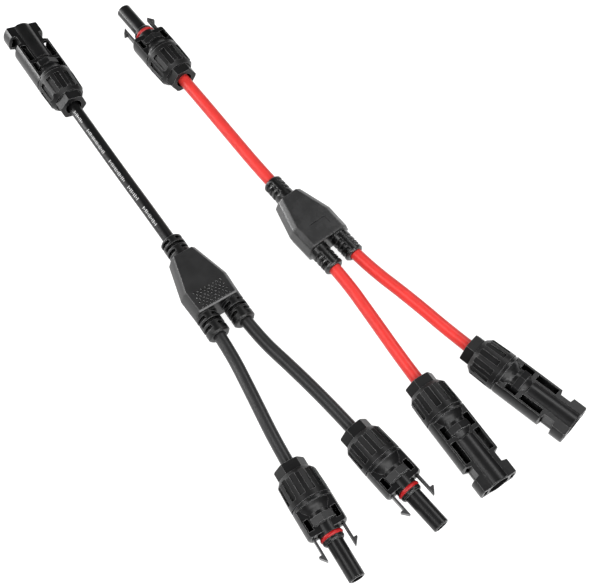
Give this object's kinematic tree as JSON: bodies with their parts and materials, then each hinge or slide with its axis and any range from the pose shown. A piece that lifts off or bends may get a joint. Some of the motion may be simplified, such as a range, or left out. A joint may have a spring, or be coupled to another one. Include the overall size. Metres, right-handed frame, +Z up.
{
  "type": "solar cable connector",
  "caption": "Pair of Y-branch solar cable leads with latching plugs and receptacles, gland nuts and moulded branch bodies.",
  "frame": {"origin": "on the surface that the leads lie on, below the centre of the box round the connectors and branch bodies", "axes": "+Y along the leads towards the trunk ends, +X from the black lead to the red one, +Z up"},
  "size_m": [0.1349, 0.3294, 0.019],
  "materials": {
    "housing_plastic": "satin moulded",
    "nut_plastic": "satin moulded",
    "branch_plastic": "satin moulded",
    "claw_plastic": "satin moulded",
    "black_sheath": "satin",
    "red_sheath": "satin",
    "red_rubber": "satin",
    "seal_rubber": "matt",
    "contact_metal": "tin plated",
    "copper": "bare stranded copper"
  },
  "bodies": {
    "leads": {"black_branch_body": "branch_plastic", "black_left_cable": "black_sheath", "black_left_cable_seal": "seal_rubber", "black_left_conductor": "copper", "black_left_housing": "housing_plastic", "black_left_o_ring": "red_rubber", "black_left_socket_contact": "contact_metal", "black_right_cable": "black_sheath", "black_right_cable_seal": "seal_rubber", "black_right_conductor": "copper", "black_right_housing": "housing_plastic", "black_right_o_ring": "red_rubber", "black_right_socket_contact": "contact_metal", "black_splice_ferrule": "copper", "black_trunk_cable": "black_sheath", "black_trunk_cable_seal": "seal_rubber", "black_trunk_conductor": "copper", "black_trunk_housing": "housing_plastic", "black_trunk_pin_contact": "contact_metal", "red_branch_body": "branch_plastic", "red_left_cable": "red_sheath", "red_left_cable_seal": "seal_rubber", "red_left_conductor": "copper", "red_left_housing": "housing_plastic", "red_left_pin_contact": "contact_metal", "red_right_cable": "red_sheath", "red_right_cable_seal": "seal_rubber", "red_right_conductor": "copper", "red_right_housing": "housing_plastic", "red_right_pin_contact": "contact_metal", "red_splice_ferrule": "copper", "red_trunk_cable": "red_sheath", "red_trunk_cable_seal": "seal_rubber", "red_trunk_conductor": "copper", "red_trunk_housing": "housing_plastic", "red_trunk_o_ring": "red_rubber", "red_trunk_socket_contact": "contact_metal"},
    "black_trunk_claw": {"black_trunk_clamp_claw": "claw_plastic"},
    "black_trunk_nut": {"black_trunk_gland_nut": "nut_plastic"},
    "red_left_claw": {"red_left_clamp_claw": "claw_plastic"},
    "red_left_nut": {"red_left_gland_nut": "nut_plastic"},
    "red_right_claw": {"red_right_clamp_claw": "claw_plastic"},
    "red_right_nut": {"red_right_gland_nut": "nut_plastic"},
    "red_trunk_claw": {"red_trunk_clamp_claw": "claw_plastic"},
    "red_trunk_nut": {"red_trunk_gland_nut": "nut_plastic"},
    "red_trunk_arm_a": {"red_trunk_latch_arm_a": "housing_plastic"},
    "red_trunk_arm_b": {"red_trunk_latch_arm_b": "housing_plastic"},
    "black_left_claw": {"black_left_clamp_claw": "claw_plastic"},
    "black_left_nut": {"black_left_gland_nut": "nut_plastic"},
    "black_left_arm_a": {"black_left_latch_arm_a": "housing_plastic"},
    "black_left_arm_b": {"black_left_latch_arm_b": "housing_plastic"},
    "black_right_claw": {"black_right_clamp_claw": "claw_plastic"},
    "black_right_nut": {"black_right_gland_nut": "nut_plastic"},
    "black_right_arm_a": {"black_right_latch_arm_a": "housing_plastic"},
    "black_right_arm_b": {"black_right_latch_arm_b": "housing_plastic"}
  },
  "joints": [
    {"name": "black_trunk_nut_travel", "type": "slide", "parent": "leads", "child": "black_trunk_claw", "axis": [0.0332, -0.9994, 0], "range_m": [0, 0.006]},
    {"name": "black_trunk_nut_turn", "type": "hinge", "parent": "black_trunk_claw", "child": "black_trunk_nut", "pos_m": [-0.0498, 0.11571, 0.0095], "axis": [0.0332, -0.9994, 0], "range_deg": [0, 1080]},
    {"name": "red_left_nut_travel", "type": "slide", "parent": "leads", "child": "red_left_claw", "axis": [-0.0365, 0.9993, 0], "range_m": [0, 0.006]},
    {"name": "red_left_nut_turn", "type": "hinge", "parent": "red_left_claw", "child": "red_left_nut", "pos_m": [0.01317, -0.11561, 0.0095], "axis": [-0.0365, 0.9993, 0], "range_deg": [0, 1080]},
    {"name": "red_right_nut_travel", "type": "slide", "parent": "leads", "child": "red_right_claw", "axis": [-0.2965, 0.955, 0], "range_m": [0, 0.006]},
    {"name": "red_right_nut_turn", "type": "hinge", "parent": "red_right_claw", "child": "red_right_nut", "pos_m": [0.04473, -0.11281, 0.0095], "axis": [-0.2965, 0.955, 0], "range_deg": [0, 1080]},
    {"name": "red_trunk_nut_travel", "type": "slide", "parent": "leads", "child": "red_trunk_claw", "axis": [0.0857, -0.9963, 0], "range_m": [0, 0.006]},
    {"name": "red_trunk_nut_turn", "type": "hinge", "parent": "red_trunk_claw", "child": "red_trunk_nut", "pos_m": [0.00487, 0.10223, 0.0095], "axis": [0.0857, -0.9963, 0], "range_deg": [0, 1080]},
    {"name": "red_trunk_latch_a", "type": "hinge", "parent": "leads", "child": "red_trunk_arm_a", "pos_m": [-0.00412, 0.12404, 0.00987], "axis": [-0.0521, -0.0045, -0.9986], "range_deg": [0, 7], "stiffness_Nm_per_rad": 0.3},
    {"name": "red_trunk_latch_b", "type": "hinge", "parent": "leads", "child": "red_trunk_arm_b", "pos_m": [0.01001, 0.12526, 0.00913], "axis": [0.0521, 0.0045, 0.9986], "range_deg": [0, 7], "stiffness_Nm_per_rad": 0.3},
    {"name": "black_left_nut_travel", "type": "slide", "parent": "leads", "child": "black_left_claw", "axis": [0.0288, 0.9996, 0], "range_m": [0, 0.006]},
    {"name": "black_left_nut_turn", "type": "hinge", "parent": "black_left_claw", "child": "black_left_nut", "pos_m": [-0.05694, -0.119, 0.0095], "axis": [0.0288, 0.9996, 0], "range_deg": [0, 1080]},
    {"name": "black_left_latch_a", "type": "hinge", "parent": "leads", "child": "black_left_arm_a", "pos_m": [-0.0505, -0.1417, 0.00987], "axis": [0.0523, -0.0015, -0.9986], "range_deg": [0, 7], "stiffness_Nm_per_rad": 0.3},
    {"name": "black_left_latch_b", "type": "hinge", "parent": "leads", "child": "black_left_arm_b", "pos_m": [-0.06468, -0.14129, 0.00913], "axis": [-0.0523, 0.0015, 0.9986], "range_deg": [0, 7], "stiffness_Nm_per_rad": 0.3},
    {"name": "black_right_nut_travel", "type": "slide", "parent": "leads", "child": "black_right_claw", "axis": [-0.1425, 0.9898, 0], "range_m": [0, 0.006]},
    {"name": "black_right_nut_turn", "type": "hinge", "parent": "black_right_claw", "child": "black_right_nut", "pos_m": [-0.02288, -0.11929, 0.0095], "axis": [-0.1425, 0.9898, 0], "range_deg": [0, 1080]},
    {"name": "black_right_latch_a", "type": "hinge", "parent": "leads", "child": "black_right_arm_a", "pos_m": [-0.01268, -0.14055, 0.01012], "axis": [0.0863, 0.0124, -0.9962], "range_deg": [0, 7], "stiffness_Nm_per_rad": 0.3},
    {"name": "black_right_latch_b", "type": "hinge", "parent": "leads", "child": "black_right_arm_b", "pos_m": [-0.02668, -0.14257, 0.00888], "axis": [-0.0863, -0.0124, 0.9962], "range_deg": [0, 7], "stiffness_Nm_per_rad": 0.3}
  ],
  "couplings": [
    {"joint": "black_trunk_nut_turn", "follows": "black_trunk_nut_travel", "rad_per_m": 3141.5},
    {"joint": "red_left_nut_turn", "follows": "red_left_nut_travel", "rad_per_m": 3141.5},
    {"joint": "red_right_nut_turn", "follows": "red_right_nut_travel", "rad_per_m": 3141.5},
    {"joint": "red_trunk_nut_turn", "follows": "red_trunk_nut_travel", "rad_per_m": 3141.5},
    {"joint": "black_left_nut_turn", "follows": "black_left_nut_travel", "rad_per_m": 3141.5},
    {"joint": "black_right_nut_turn", "follows": "black_right_nut_travel", "rad_per_m": 3141.5}
  ]
}
